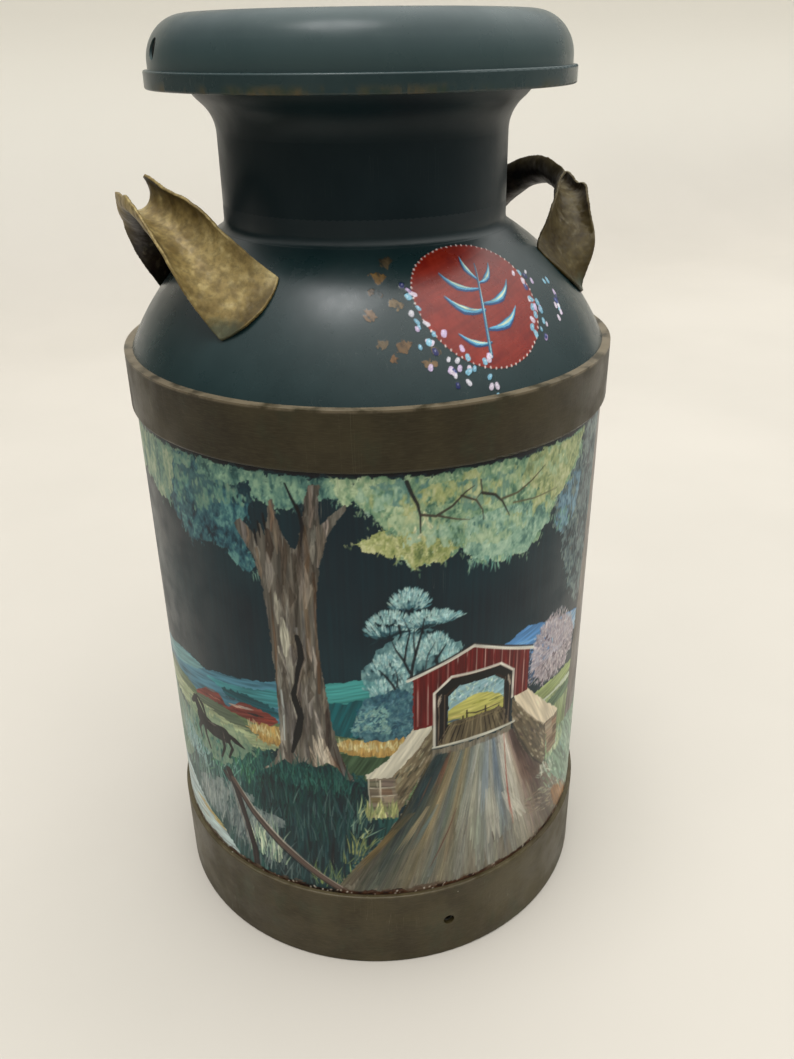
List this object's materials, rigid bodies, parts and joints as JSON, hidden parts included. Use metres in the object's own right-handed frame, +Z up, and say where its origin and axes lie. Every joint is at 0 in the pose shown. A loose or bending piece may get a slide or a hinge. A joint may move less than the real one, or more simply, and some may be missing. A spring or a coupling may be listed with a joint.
{
  "type": "steel milk can with umbrella lid",
  "caption": "Tall round steel milk can with a domed shoulder, flared mouth, curled side handles, banded hoops, painted wall and a lift-off umbrella lid.",
  "frame": {"origin": "on the floor, at the centre of the ring the can stands on", "axes": "+Z up along the can's axis, the carrying handles on X, the painted front facing -Y"},
  "size_m": [0.337, 0.337, 0.644],
  "materials": {
    "wall_paint": "dark slate teal paint under a hand-painted landscape, semi-gloss, lightly worn",
    "dark_teal_paint": "dark blue-green enamel, semi-gloss, with fine scratches and specks",
    "lid_paint": "dark blue-green enamel, semi-gloss, softly scuffed",
    "lid_edge_paint": "dark paint worn to olive and rust along the lower edge",
    "bronze_paint": "dull bronze-brown paint, rubbed lighter at edges, rust where it meets the wall",
    "olive_gold_paint": "dull olive-gold paint, mottled and dented, dark inside the curl",
    "bare_steel": "tinned steel gone grey and dull, stained in the corners"
  },
  "bodies": {
    "can": {"body_shell": "wall_paint", "bottom_head": "bare_steel", "bottom_hoop": "bronze_paint", "breast": "dark_teal_paint", "breast_hoop": "bronze_paint", "neck": "dark_teal_paint", "mouth_bowl": "dark_teal_paint", "mouth_rim_wire": "bare_steel", "left_handle": "olive_gold_paint", "right_handle": "olive_gold_paint"},
    "lid": {"lid_umbrella": "lid_paint", "lid_rim_band": "lid_edge_paint", "lid_plug": "bare_steel", "lid_handle": "lid_paint", "lid_rivets": "bare_steel"}
  },
  "joints": [
    {"name": "lid_lift", "type": "slide", "parent": "can", "child": "lid", "axis": [0, 0, 1], "range_m": [0, 0.3]}
  ]
}
